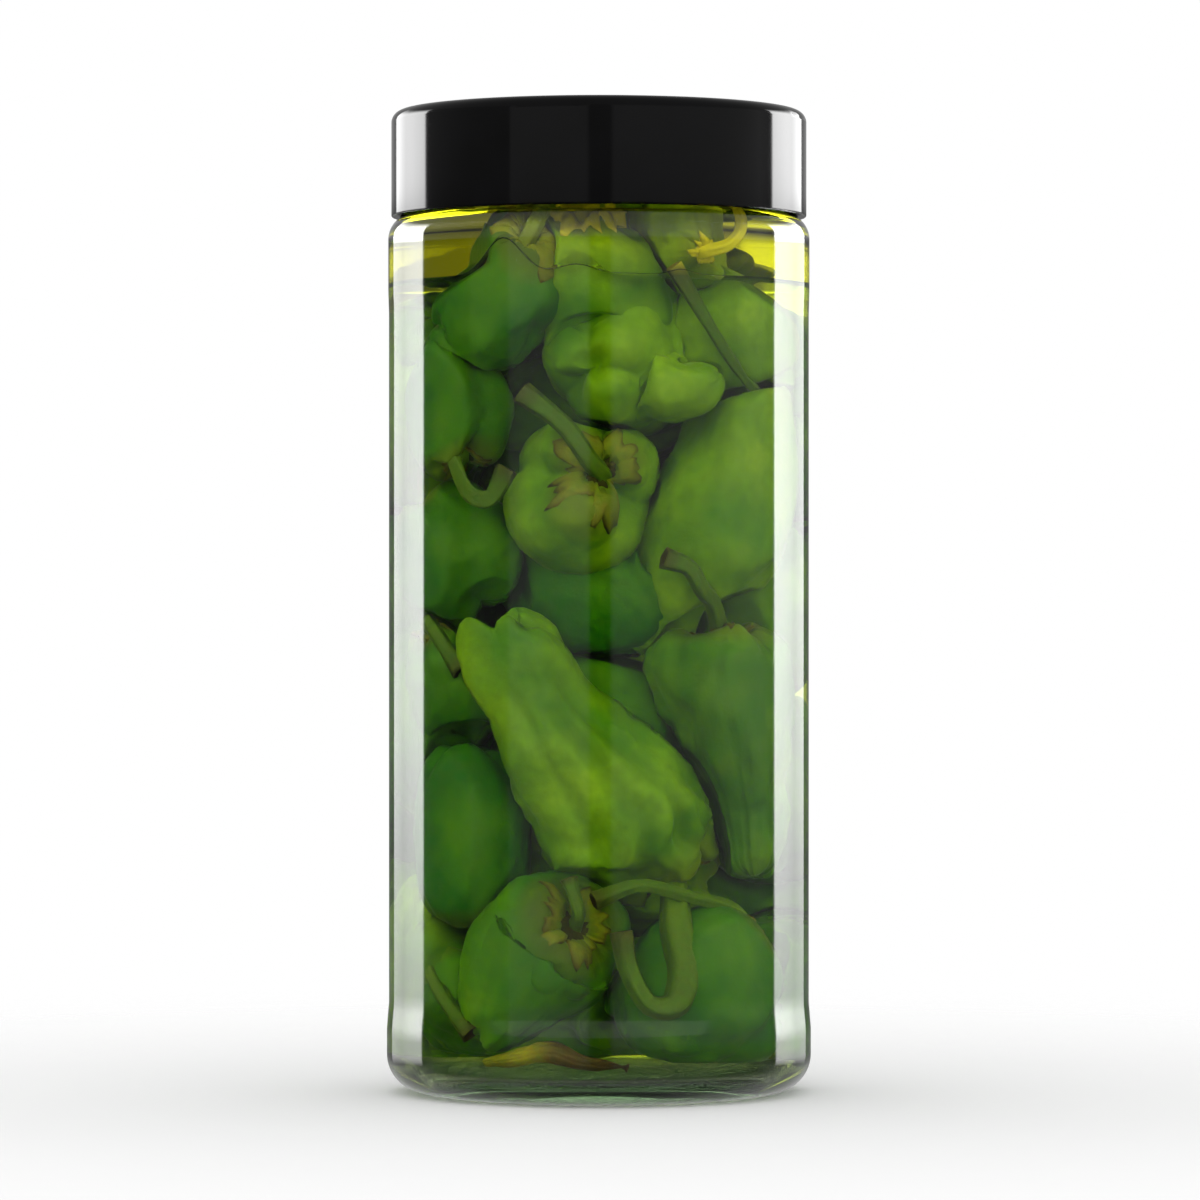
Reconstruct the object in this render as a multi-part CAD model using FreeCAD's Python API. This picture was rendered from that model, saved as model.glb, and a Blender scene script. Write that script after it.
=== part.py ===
import FreeCAD, Part
import math
import os

# A one-litre straight-sided glass jar with a smooth screw lid. It is full of brine to just below
# the shoulder, and a layer of oil floats on the brine and reaches up into the neck.
# Sizes are in millimetres, +Z is up, and the origin is the middle of the base.

# Outside of the glass, from the base up
push_up_height = 1.0
stand_ring_inner_radius = 34.0
heel_band_radius = 45.3
heel_round = 8.0
heel_band_top = 13.5
panel_radius = 44.85
panel_bottom = 19.0
panel_top = 166.0
shoulder_radius = 45.0
shoulder_band_bottom = 171.0
shoulder_start = 181.8
shoulder_round = 5.4
neck_radius = 41.0
rim_height = 207.0
rim_round = 1.2

# Inside of the glass
cavity_radius = 42.1
floor_height = 5.0
floor_rise = 1.0
floor_round = 6.5
inner_shoulder_round = 2.6
mouth_radius = 37.5
mouth_round = 1.6

# What fills it
brine_level = 172.0
oil_level = 199.0

# Lid
lid_radius = 44.35
lid_bottom = 186.6
lid_top = 209.2
lid_top_round = 2.5
lid_bottom_round = 0.35
lid_skirt_inner_radius = 42.5
lid_inner_round = 1.5

UP = FreeCAD.Vector(0, 0, 1)
MIDDLE = FreeCAD.Vector(0, 0, 0)


def spot(radius, height):
    """A point of a section, which is drawn in the plane through the axis."""
    return FreeCAD.Vector(radius, 0, height)


def straight(start, end):
    return Part.makeLine(start, end)


def rounded(centre, radius, start_degrees, end_degrees):
    """An arc of a section. Angles go from outward, which is 0, to up, which is 90."""
    def on_circle(degrees):
        turn = math.radians(degrees)
        return spot(centre.x + radius * math.cos(turn), centre.z + radius * math.sin(turn))
    middle = (start_degrees + end_degrees) / 2
    return Part.Arc(on_circle(start_degrees), on_circle(middle), on_circle(end_degrees)).toShape()


def domed(half_width, edge_height, rise):
    """A shallow dome across the axis, from its crown out to its edge."""
    sphere_radius = (half_width ** 2 + rise ** 2) / (2 * rise)
    centre = spot(0, edge_height + rise - sphere_radius)
    edge_degrees = math.degrees(math.acos(half_width / sphere_radius))
    return rounded(centre, sphere_radius, 90, edge_degrees)


def end_of(edge):
    return edge.valueAt(edge.LastParameter)


def turned(edges):
    """The solid that a section makes when it is closed along the axis and turned round it.

    Each edge starts where the one before it ends, and a straight edge fills any gap between two.
    """
    outline = [edges[0]]
    for edge in edges[1:]:
        start = edge.valueAt(edge.FirstParameter)
        if start.distanceToPoint(end_of(outline[-1])) > 1e-6:
            outline.append(straight(end_of(outline[-1]), start))
        outline.append(edge)
    outline.append(straight(end_of(outline[-1]), outline[0].valueAt(outline[0].FirstParameter)))
    return Part.Face(Part.Wire(outline)).revolve(MIDDLE, UP, 360)


def glass_outside():
    """The jar as if it were solid glass."""
    shoulder_centre = spot(shoulder_radius - shoulder_round, shoulder_start)
    neck_meets_shoulder = math.degrees(math.acos((neck_radius - shoulder_centre.x) / shoulder_round))
    return turned([
        domed(stand_ring_inner_radius, 0, push_up_height),
        rounded(spot(heel_band_radius - heel_round, heel_round), heel_round, -90, 0),
        straight(spot(heel_band_radius, heel_round), spot(heel_band_radius, heel_band_top)),
        straight(spot(panel_radius, panel_bottom), spot(panel_radius, panel_top)),
        straight(spot(shoulder_radius, shoulder_band_bottom), spot(shoulder_radius, shoulder_start)),
        rounded(shoulder_centre, shoulder_round, 0, neck_meets_shoulder),
        rounded(spot(neck_radius - rim_round, rim_height - rim_round), rim_round, 0, 90),
        straight(spot(mouth_radius, rim_height), spot(0, rim_height)),
    ])


def cavity():
    """The space inside the glass, from the floor up to the level of the rim."""
    ceiling = shoulder_start + inner_shoulder_round
    return turned([
        domed(cavity_radius - floor_round, floor_height, floor_rise),
        rounded(spot(cavity_radius - floor_round, floor_height + floor_round), floor_round, -90, 0),
        rounded(spot(cavity_radius - inner_shoulder_round, shoulder_start), inner_shoulder_round, 0, 90),
        rounded(spot(mouth_radius + mouth_round, ceiling + mouth_round), mouth_round, 270, 180),
        straight(spot(mouth_radius, rim_height), spot(0, rim_height)),
    ])


def layer(low, high):
    """The part of the cavity between two levels."""
    slab = Part.makeCylinder(heel_band_radius, high - low, spot(0, low), UP)
    return cavity().common(slab)


def lid():
    """A hollow cap, whose top plate sits on the glass rim and whose skirt clears the neck."""
    outside = turned([
        straight(spot(0, lid_bottom), spot(lid_radius - lid_bottom_round, lid_bottom)),
        rounded(spot(lid_radius - lid_bottom_round, lid_bottom + lid_bottom_round),
                lid_bottom_round, -90, 0),
        rounded(spot(lid_radius - lid_top_round, lid_top - lid_top_round), lid_top_round, 0, 90),
        straight(spot(lid_radius - lid_top_round, lid_top), spot(0, lid_top)),
    ])
    hollow = turned([
        straight(spot(0, lid_bottom), spot(lid_skirt_inner_radius, lid_bottom)),
        rounded(spot(lid_skirt_inner_radius - lid_inner_round, rim_height - lid_inner_round),
                lid_inner_round, 0, 90),
        straight(spot(lid_skirt_inner_radius - lid_inner_round, rim_height), spot(0, rim_height)),
    ])
    return outside.cut(hollow)


def as_one_solid(shape):
    """The single solid of a result, which a cut or a common part leaves in a compound."""
    if len(shape.Solids) != 1 or not shape.isValid():
        raise ValueError("expected one valid solid")
    return shape.Solids[0]


nodes = {
    "glass_jar": glass_outside().cut(cavity()),
    "brine": layer(floor_height, brine_level),
    "oil": layer(brine_level, oil_level),
    "lid": lid(),
}

os.makedirs("parts", exist_ok=True)
for node, shape in nodes.items():
    solid = as_one_solid(shape)
    solid.exportStep("parts/" + node + ".step")
    print(node, round(solid.Volume / 1000, 1), "ml")
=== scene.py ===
import math

import bpy
import numpy as np
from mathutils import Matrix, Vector, noise


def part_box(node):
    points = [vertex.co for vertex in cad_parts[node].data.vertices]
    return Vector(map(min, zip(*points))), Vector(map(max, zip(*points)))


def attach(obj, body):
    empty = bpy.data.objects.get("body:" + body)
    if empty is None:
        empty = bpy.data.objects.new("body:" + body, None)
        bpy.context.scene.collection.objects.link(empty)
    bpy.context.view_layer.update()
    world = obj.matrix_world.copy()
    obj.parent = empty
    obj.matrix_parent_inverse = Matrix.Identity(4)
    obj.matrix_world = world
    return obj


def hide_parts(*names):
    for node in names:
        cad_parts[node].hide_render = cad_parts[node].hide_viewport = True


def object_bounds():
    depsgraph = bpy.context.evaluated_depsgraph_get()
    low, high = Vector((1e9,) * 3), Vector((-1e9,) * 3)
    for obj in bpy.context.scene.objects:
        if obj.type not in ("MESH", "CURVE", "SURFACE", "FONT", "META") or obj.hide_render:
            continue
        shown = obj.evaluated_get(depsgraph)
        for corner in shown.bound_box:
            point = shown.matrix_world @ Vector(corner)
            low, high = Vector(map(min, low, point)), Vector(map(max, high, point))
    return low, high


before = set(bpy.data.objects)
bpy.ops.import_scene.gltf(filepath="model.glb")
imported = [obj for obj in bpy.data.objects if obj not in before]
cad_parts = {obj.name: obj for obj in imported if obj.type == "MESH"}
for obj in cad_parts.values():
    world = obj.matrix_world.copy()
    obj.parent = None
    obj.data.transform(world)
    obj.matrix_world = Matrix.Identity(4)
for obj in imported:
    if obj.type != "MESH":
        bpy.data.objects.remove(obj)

cad_low, cad_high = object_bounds()

# ------------------------------------------------
# Glass jar. Clear soda-lime glass, pressed and blown in a two-part iron mould: a straight label
# panel set in very slightly between a shoulder band and a heel band, a rounded shoulder, a
# pushed-up base on a flat bearing ring. It stands for the CAD jar, with the same section.

MM = 0.001
AROUND = 288                      # segments round the jar
ring_turns = np.linspace(0, 2 * math.pi, AROUND, endpoint=False)


def linear(colour):
    """An sRGB hex colour as the linear RGBA that a shader takes."""
    channels = [int(colour[place:place + 2], 16) / 255 for place in (1, 3, 5)]
    return [c / 12.92 if c <= 0.04045 else ((c + 0.055) / 1.055) ** 2.4 for c in channels] + [1.0]


def add_node(tree, kind, inputs=(), stops=(), **settings):
    """A shader node with its settings, its ramp stops and its values or links by socket.

    A node given as a value stands for the first of its outputs that is in use.
    """
    node = tree.nodes.new("ShaderNode" + kind)
    for name, value in settings.items():
        setattr(node, name, value)
    for place, (position, colour) in enumerate(stops):
        steps = node.color_ramp.elements
        step = steps[place] if place < len(steps) else steps.new(position)
        step.position = position
        step.color = colour
    for socket, value in dict(inputs).items():
        if isinstance(value, bpy.types.Node):
            value = next(output for output in value.outputs if output.enabled)
        if isinstance(value, bpy.types.NodeSocket):
            tree.links.new(value, node.inputs[socket])
        else:
            node.inputs[socket].default_value = value
    return node


def new_material(name):
    """An empty node material and its tree."""
    material = bpy.data.materials.new(name)
    material.use_nodes = True
    material.node_tree.nodes.clear()
    return material, material.node_tree


def arc(centre_radius, centre_height, radius, start_degrees, end_degrees, steps):
    """Points of a section along an arc. 0 degrees is outward and 90 is up. Millimetres."""
    turns = np.radians(np.linspace(start_degrees, end_degrees, steps))
    return [(centre_radius + radius * math.cos(t), centre_height + radius * math.sin(t)) for t in turns]


def dome(half_width, edge_height, rise, steps):
    """Points of a shallow dome from the axis out to its edge."""
    sphere = (half_width ** 2 + rise ** 2) / (2 * rise)
    edge = math.degrees(math.acos(half_width / sphere))
    return arc(0, edge_height + rise - sphere, sphere, 90, edge, steps)


def stretch(start, end, steps):
    """Points along a straight stretch of a section, without its end."""
    return [tuple(p) for p in np.linspace(start, end, steps, endpoint=False)]


def closed_mesh(name, grid, start_pole, end_pole):
    """A closed skin over rings of points, with a pole at each end. The grid is in millimetres."""
    rings, around = grid.shape[:2]
    points = np.vstack([grid.reshape(-1, 3), [start_pole, end_pole]]) * MM
    start, end = rings * around, rings * around + 1
    faces = []
    for ring in range(rings - 1):
        low, high = ring * around, (ring + 1) * around
        for j in range(around):
            k = (j + 1) % around
            faces.append((low + j, low + k, high + k, high + j))
    last = (rings - 1) * around
    for j in range(around):
        k = (j + 1) % around
        faces.append((start, k, j))
        faces.append((end, last + j, last + k))
    mesh = bpy.data.meshes.new(name)
    mesh.from_pydata(points.tolist(), [], faces)
    mesh.polygons.foreach_set("use_smooth", [True] * len(faces))
    mesh.update()
    piece = bpy.data.objects.new(name, mesh)
    bpy.context.scene.collection.objects.link(piece)
    return piece


def mark(piece, name, values):
    """Stores one number at each point of a piece, for its material to read."""
    attribute = piece.data.attributes.new(name, "FLOAT", "POINT")
    attribute.data.foreach_set("value", np.asarray(values, np.float32))


def turned_grid(section):
    """Rings round the jar's axis, one for each point of a section that starts and ends off it."""
    radius = np.array([p[0] for p in section])[:, None]
    height = np.array([p[1] for p in section])[:, None]
    return np.stack([radius * np.cos(ring_turns), radius * np.sin(ring_turns),
                     height + 0 * ring_turns], axis=2)


# the glass's own sizes, in millimetres
rim_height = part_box("glass_jar")[1].z / MM
rim_round = 1.2
neck_radius = 41.0
mouth_radius, mouth_round = 37.5, 1.6
shoulder_radius, shoulder_start, shoulder_round = 45.0, 181.8, 5.4
shoulder_band_bottom = 171.0
inner_shoulder_round = 2.6
ceiling = shoulder_start + inner_shoulder_round
panel_radius, panel_bottom, panel_top = 44.85, 19.0, 166.0
heel_band_radius, heel_band_top, heel_round = 45.3, 13.5, 8.0
stand_ring_inner_radius, push_up_height = 34.0, 1.0
cavity_radius = 42.1
floor_height, floor_rise, floor_round = 5.0, 1.0, 6.5


def glass_section():
    """The outside of the glass from the base up over the rim, then the inside down to the floor.

    A straight stretch starts just past the arc before it, so that no two rings coincide. The last
    number of each row is how many rings it has.
    """
    bend = shoulder_radius - shoulder_round
    neck_meets_shoulder = math.degrees(math.acos((neck_radius - bend) / shoulder_round))
    outside = (
        dome(stand_ring_inner_radius, 0, push_up_height, 16)[1:]
        + stretch((stand_ring_inner_radius + 0.4, 0), (heel_band_radius - heel_round, 0), 3)
        + arc(heel_band_radius - heel_round, heel_round, heel_round, -90, 0, 18)
        + stretch((heel_band_radius, heel_round + 0.5), (heel_band_radius, heel_band_top), 3)
        + stretch((heel_band_radius, heel_band_top), (panel_radius, panel_bottom), 4)
        + stretch((panel_radius, panel_bottom), (panel_radius, panel_top), 60)
        + stretch((panel_radius, panel_top), (shoulder_radius, shoulder_band_bottom), 4)
        + stretch((shoulder_radius, shoulder_band_bottom), (shoulder_radius, shoulder_start), 5)
        + arc(bend, shoulder_start, shoulder_round, 0, neck_meets_shoulder, 16)
        + stretch((neck_radius, shoulder_start + 6), (neck_radius, rim_height - rim_round), 6)
        + arc(neck_radius - rim_round, rim_height - rim_round, rim_round, 0, 90, 6)
    )
    inside = (
        arc(mouth_radius + rim_round, rim_height - rim_round, rim_round, 90, 180, 6)
        + stretch((mouth_radius, rim_height - 2), (mouth_radius, ceiling + mouth_round), 6)
        + arc(mouth_radius + mouth_round, ceiling + mouth_round, mouth_round, 180, 270, 8)
        + arc(cavity_radius - inner_shoulder_round, shoulder_start, inner_shoulder_round, 90, 0, 10)
        + stretch((cavity_radius, shoulder_start - 0.5), (cavity_radius, floor_height + floor_round), 66)
        + arc(cavity_radius - floor_round, floor_height + floor_round, floor_round, 0, -90, 14)
        + dome(cavity_radius - floor_round, floor_height, floor_rise, 12)[:0:-1]
    )
    return outside, inside


def make_glass():
    """The jar, with the slight unevenness that the blown inside of a moulded jar has."""
    outside, inside = glass_section()
    grid = turned_grid(outside + inside)
    blown_wave, blown_depth = 14.0, 0.05
    upright = 0.5                 # the waves are twice as long up the wall as round it
    for ring in range(len(outside), len(outside) + len(inside)):
        for j in range(AROUND):
            x, y, z = grid[ring, j]
            swell = noise.noise(Vector((x, y, z * upright)) / blown_wave) * blown_depth
            grid[ring, j, :2] *= 1 + swell / cavity_radius
    piece = closed_mesh("glass_jar_shell", grid,
                        (0, 0, push_up_height), (0, 0, floor_height + floor_rise))
    # 1 where liquid wets the glass, in the order of the grid's rings and then the two poles
    mark(piece, "wetted", [0.0] * len(outside) * AROUND + [1.0] * len(inside) * AROUND + [0.0, 1.0])
    return piece


def flint_glass():
    """Clear soda-lime glass, fire-polished: a bright smooth surface, faintly green where thick.

    Its underside is stippled all over. The wetted inside has a black specular tint, because glass
    against liquid mirrors almost nothing.
    """
    material, tree = new_material("flint_glass_fire_polished")
    place = add_node(tree, "TexCoord").outputs["Object"]
    mould_wave = 9 * MM
    waves = add_node(tree, "TexNoise", {"Vector": place, "Scale": 1 / mould_wave, "Detail": 1.0})
    relief = add_node(tree, "Bump", {"Strength": 0.12, "Distance": 0.02 * MM, "Height": waves})
    parts = add_node(tree, "SeparateXYZ", {0: place})
    stippled_height = 1.5 * MM
    underside = add_node(tree, "MapRange",
                         {"Value": parts.outputs["Z"], "From Max": stippled_height,
                          "To Min": 1.0, "To Max": 0.0})
    stipple_size = 0.5 * MM
    stipple = add_node(tree, "TexNoise", {"Vector": place, "Scale": 1 / stipple_size, "Detail": 0.0})
    knurls = add_node(tree, "Math", {0: stipple, 1: underside}, operation="MULTIPLY")
    knurled = add_node(tree, "Bump",
                       {"Strength": 1.0, "Distance": 0.25 * MM, "Height": knurls, "Normal": relief})
    wetted = add_node(tree, "Attribute", attribute_name="wetted")
    mirror = add_node(tree, "Mix",
                      {"Factor": wetted.outputs["Fac"], "A": linear("#FFFFFF"), "B": linear("#000000")},
                      data_type="RGBA")
    glass = add_node(tree, "BsdfPrincipled",
                     {"Base Color": linear("#FBFDFB"), "Roughness": 0.0, "IOR": 1.5,
                      "Transmission Weight": 1.0, "Specular Tint": mirror, "Normal": knurled})
    tint = add_node(tree, "VolumeAbsorption", {"Color": linear("#CFE2C8"), "Density": 40.0})
    add_node(tree, "OutputMaterial", {"Surface": glass, "Volume": tint})
    return material


glass_jar = make_glass()
glass_jar.data.materials.append(flint_glass())
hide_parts("glass_jar")
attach(glass_jar, "root")

# ------------------------------------------------
# Brine. Salt and vinegar liquor, green from the peppers. It fills the jar to just below the
# shoulder, climbs a little where a pepper breaks its surface, and reaches a fifth of a millimetre
# into the glass so that no air shows between the two.

wall_bite = 0.2
skin_overlap = 0.04               # the brine's top and the oil's underside cross by this much
brine_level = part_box("brine")[1].z / MM
open_surface = brine_level - 0.4  # the surface away from the glass and the peppers
liquid_swells = [                 # where brine climbs a pepper: x, y, height and reach
    (-18.0, -35.0, 10.0, 5.5), (-4.0, -36.5, 8.5, 4.5), (16.0, -37.0, 1.5, 3.0)]
wall_creep_height, wall_creep_reach = 0.7, 2.0


def surface_height(x, y):
    """The level between brine and oil, raised against peppers and against the glass."""
    level = open_surface + 0 * x
    for swell_x, swell_y, height, reach in liquid_swells:
        gap = np.hypot(x - swell_x, y - swell_y)
        level = level + height * np.exp(-(gap / reach) ** 2)
    to_wall = cavity_radius - np.hypot(x, y)
    return level + wall_creep_height * np.exp(-np.maximum(to_wall, 0) / wall_creep_reach)


def surface_disc(lift):
    """Rings of the surface between the liquids, from the wall in to the axis, closest at the wall."""
    rings, crowding = 60, 1.3
    inward = np.linspace(0, 1, rings, endpoint=False) ** crowding
    radii = (cavity_radius + wall_bite) * (1 - inward)
    x = radii[:, None] * np.cos(ring_turns)
    y = radii[:, None] * np.sin(ring_turns)
    return np.stack([x, y, surface_height(x, y) + lift], axis=2)


def liquid_wall(low, high):
    """Rings up the side of a liquid from one edge to another, close together beside both edges.

    The close rings keep the smooth shading of an edge from spreading over the side.
    """
    radius = cavity_radius + wall_bite
    beside_edge = 0.02
    heights = [low + beside_edge]
    heights += [low + (high - low) * share for share in np.linspace(0.02, 0.98, 20)]
    heights += [high - beside_edge]
    return np.stack([np.stack([radius * np.cos(ring_turns), radius * np.sin(ring_turns), height], axis=1)
                     for height in heights])


def make_brine():
    """A bowl that follows the jar's floor, the side, and the surface as its top."""
    bowl = (
        dome(cavity_radius - floor_round, floor_height - wall_bite, floor_rise, 12)[1:]
        + arc(cavity_radius - floor_round, floor_height + floor_round,
              floor_round + wall_bite, -90, 0, 14)
    )
    top = surface_disc(skin_overlap)
    low_edge = np.full(AROUND, floor_height + floor_round)
    grid = np.concatenate([turned_grid(bowl), liquid_wall(low_edge, top[0, :, 2]), top])
    bottom = floor_height + floor_rise - wall_bite
    crown = surface_height(0.0, 0.0) + skin_overlap
    return closed_mesh("brine_fill", grid, (0, 0, bottom), (0, 0, crown))


def clear_liquid(name, ior, colour, density):
    """A liquid that shows its colour only in depth, with no mirror of its own on the wetted wall."""
    material, tree = new_material(name)
    surface = add_node(tree, "BsdfPrincipled",
                       {"Base Color": linear("#FFFFFF"), "Roughness": 0.0, "IOR": ior,
                        "Transmission Weight": 1.0, "Specular Tint": linear("#000000")})
    depth = add_node(tree, "VolumeAbsorption", {"Color": linear(colour), "Density": density})
    add_node(tree, "OutputMaterial", {"Surface": surface, "Volume": depth})
    return material


brine = make_brine()
# strained vinegar brine, yellow-green from the peppers: clear close to, dark and green in depth
brine.data.materials.append(clear_liquid("vinegar_brine_strained", 1.34, "#F2F730", 55.0))
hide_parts("brine")
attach(brine, "root")

# ------------------------------------------------
# Oil. A layer of yellow vegetable oil floats on the brine and seals it. It runs from the brine's
# surface up through the shoulder and into the neck, where the lid hides its top.

oil_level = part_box("oil")[1].z / MM


def make_oil():
    """The surface as its underside, the side, the shoulder and neck, and a flat top."""
    neck_side = mouth_radius + wall_bite
    shoulder_and_neck = (
        arc(cavity_radius - inner_shoulder_round, shoulder_start,
            inner_shoulder_round + wall_bite, 0, 90, 10)
        + arc(mouth_radius + mouth_round, ceiling + mouth_round, mouth_round - wall_bite, 270, 180, 8)
        + stretch((neck_side, ceiling + mouth_round + 1), (neck_side, oil_level), 6)
        + stretch((neck_side, oil_level), (1.0, oil_level), 10)
    )
    underside = surface_disc(-skin_overlap)[::-1]
    wall = liquid_wall(underside[-1, :, 2], np.full(AROUND, shoulder_start))
    grid = np.concatenate([underside, wall, turned_grid(shoulder_and_neck)])
    crown = surface_height(0.0, 0.0) - skin_overlap
    return closed_mesh("oil_layer", grid, (0, 0, crown), (0, 0, oil_level))


oil = make_oil()
# vegetable oil, settled on the brine: it bends light more than brine does, and is bright yellow
oil.data.materials.append(clear_liquid("vegetable_oil_settled", 1.47, "#FDFB00", 58.0))
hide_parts("oil")
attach(oil, "root")

# ------------------------------------------------
# Peppers. Whole small peppers, pickled soft: bundles of three or four lobes with creases between
# them, a sunk stalk end and a puckered blossom end. The vinegar leaves the flesh slack, so it is
# dented and furrowed, and it lies flat against the glass and the other peppers.

RINGS, SPOKES = 84, 72            # mesh of one pepper's body
CORE_POINTS = 60                  # points along its middle line
film = 0.35                       # liquid left between a pepper and the glass
neck_begins = shoulder_start + 1.5
clear_shoulder_start, clear_shoulder_ease = 162.0, 13.0
clear_shoulder_half_width = 22.0  # the pile narrows sideways to this below the shoulder
body_profile = np.array([         # (share of the length, share of the girth), stalk to blossom end
    (0.110, 0.00), (0.095, 0.10), (0.045, 0.24), (0.008, 0.42), (0.000, 0.60), (0.028, 0.78),
    (0.085, 0.92), (0.180, 0.99), (0.330, 1.00), (0.480, 1.00), (0.630, 1.00), (0.760, 0.99),
    (0.870, 0.93), (0.945, 0.78), (0.988, 0.56), (1.000, 0.34), (0.975, 0.15), (0.930, 0.00)])


def through(points, shares):
    """Values at shares 0 to 1 of a smooth curve through evenly spaced points."""
    points = np.asarray(points, float)
    padded = np.vstack([2 * points[0] - points[1], points, 2 * points[-1] - points[-2]])
    place = np.clip(np.asarray(shares, float), 0, 1) * (len(points) - 1)
    index = np.minimum(place.astype(int), len(points) - 2)
    t = (place - index)[:, None]
    a, b, c, d = (padded[index + k] for k in range(4))
    return 0.5 * (2 * b + (c - a) * t + (2 * a - 5 * b + 4 * c - d) * t ** 2
                  + (3 * b - a - 3 * c + d) * t ** 3)


def frames_along(line):
    """Tangents and two crosswise directions along a line, turned as little as possible."""
    along = np.gradient(line, axis=0)
    along /= np.linalg.norm(along, axis=1)[:, None]
    first = np.cross(along[0], (0.0, -1.0, 0.0))
    if np.linalg.norm(first) < 0.3:
        first = np.cross(along[0], (0.0, 0.0, 1.0))
    side = [first / np.linalg.norm(first)]
    for tangent in along[1:]:
        across = side[-1] - tangent * np.dot(side[-1], tangent)
        side.append(across / np.linalg.norm(across))
    side = np.array(side)
    return along, side, np.cross(along, side)


def wall_limit(height):
    """How far from the axis a pepper may reach at each height."""
    limit = np.full_like(height, cavity_radius)
    low = np.clip(floor_height + floor_round - height, 0, floor_round)
    limit = limit - floor_round + np.sqrt(floor_round ** 2 - low ** 2)
    high = np.clip(height - shoulder_start, 0, inner_shoulder_round)
    limit = limit - inner_shoulder_round + np.sqrt(inner_shoulder_round ** 2 - high ** 2)
    return np.where(height > neck_begins, np.minimum(limit, mouth_radius), limit) - film


def soft_limit(value, limit, give):
    """Values eased so that they come close to the limit and don't pass it."""
    over = np.maximum(value - (limit - give), 0)
    return np.where(over > 0, limit - give * np.exp(-over / give), value)


def press_in_jar(points, clear_shoulder=True):
    """Points kept inside the glass, flattened where they would pass it."""
    side_give, floor_give, wall_give = 2.0, 1.0, 1.4
    floor_clearance = 0.3
    points = points.copy()
    if clear_shoulder:
        under_mouth = np.clip((points[..., 2] - clear_shoulder_start) / clear_shoulder_ease, 0, 1)
        across = cavity_radius + (clear_shoulder_half_width - cavity_radius) * under_mouth
        sideways = soft_limit(np.abs(points[..., 0]), across, side_give)
        points[..., 0] = np.sign(points[..., 0]) * sideways
    lowest = floor_height + floor_rise + floor_clearance
    points[..., 2] = -soft_limit(-points[..., 2], np.full(points.shape[:-1], -lowest), floor_give)
    reach = np.hypot(points[..., 0], points[..., 1])
    kept = soft_limit(reach, wall_limit(points[..., 2]), wall_give)
    points[..., :2] *= (kept / np.maximum(reach, 1e-6))[..., None]
    return points


def shell_normals(grid):
    """Outward directions at the points of a body's grid."""
    along = np.gradient(grid, axis=0)
    around = np.roll(grid, -1, axis=1) - np.roll(grid, 1, axis=1)
    normals = np.cross(around, along)
    return normals / np.maximum(np.linalg.norm(normals, axis=2), 1e-9)[..., None]


def bundle(bearings, sizes, seed, apart):
    """Radius round a bundle of lobes whose middles stand apart from the axis: 1 at a lobe's top."""
    uneven_spacing = 0.16
    back_of_lobe = -0.3           # cosine past which a lobe no longer shows
    width = 1 - apart
    radius = np.zeros_like(bearings)
    for lobe, size in enumerate(sizes):
        shift = uneven_spacing * math.sin(seed * 2.7 + lobe * 2.1)
        middle = 2 * math.pi * (lobe + shift) / len(sizes)
        towards = np.cos(bearings - middle)
        across = apart * np.sin(bearings - middle)
        inside = np.maximum(width ** 2 - across ** 2, 0)
        edge = np.where(towards > back_of_lobe, apart * towards + np.sqrt(inside), 0)
        radius = np.maximum(radius, edge * size)
    return radius


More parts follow.
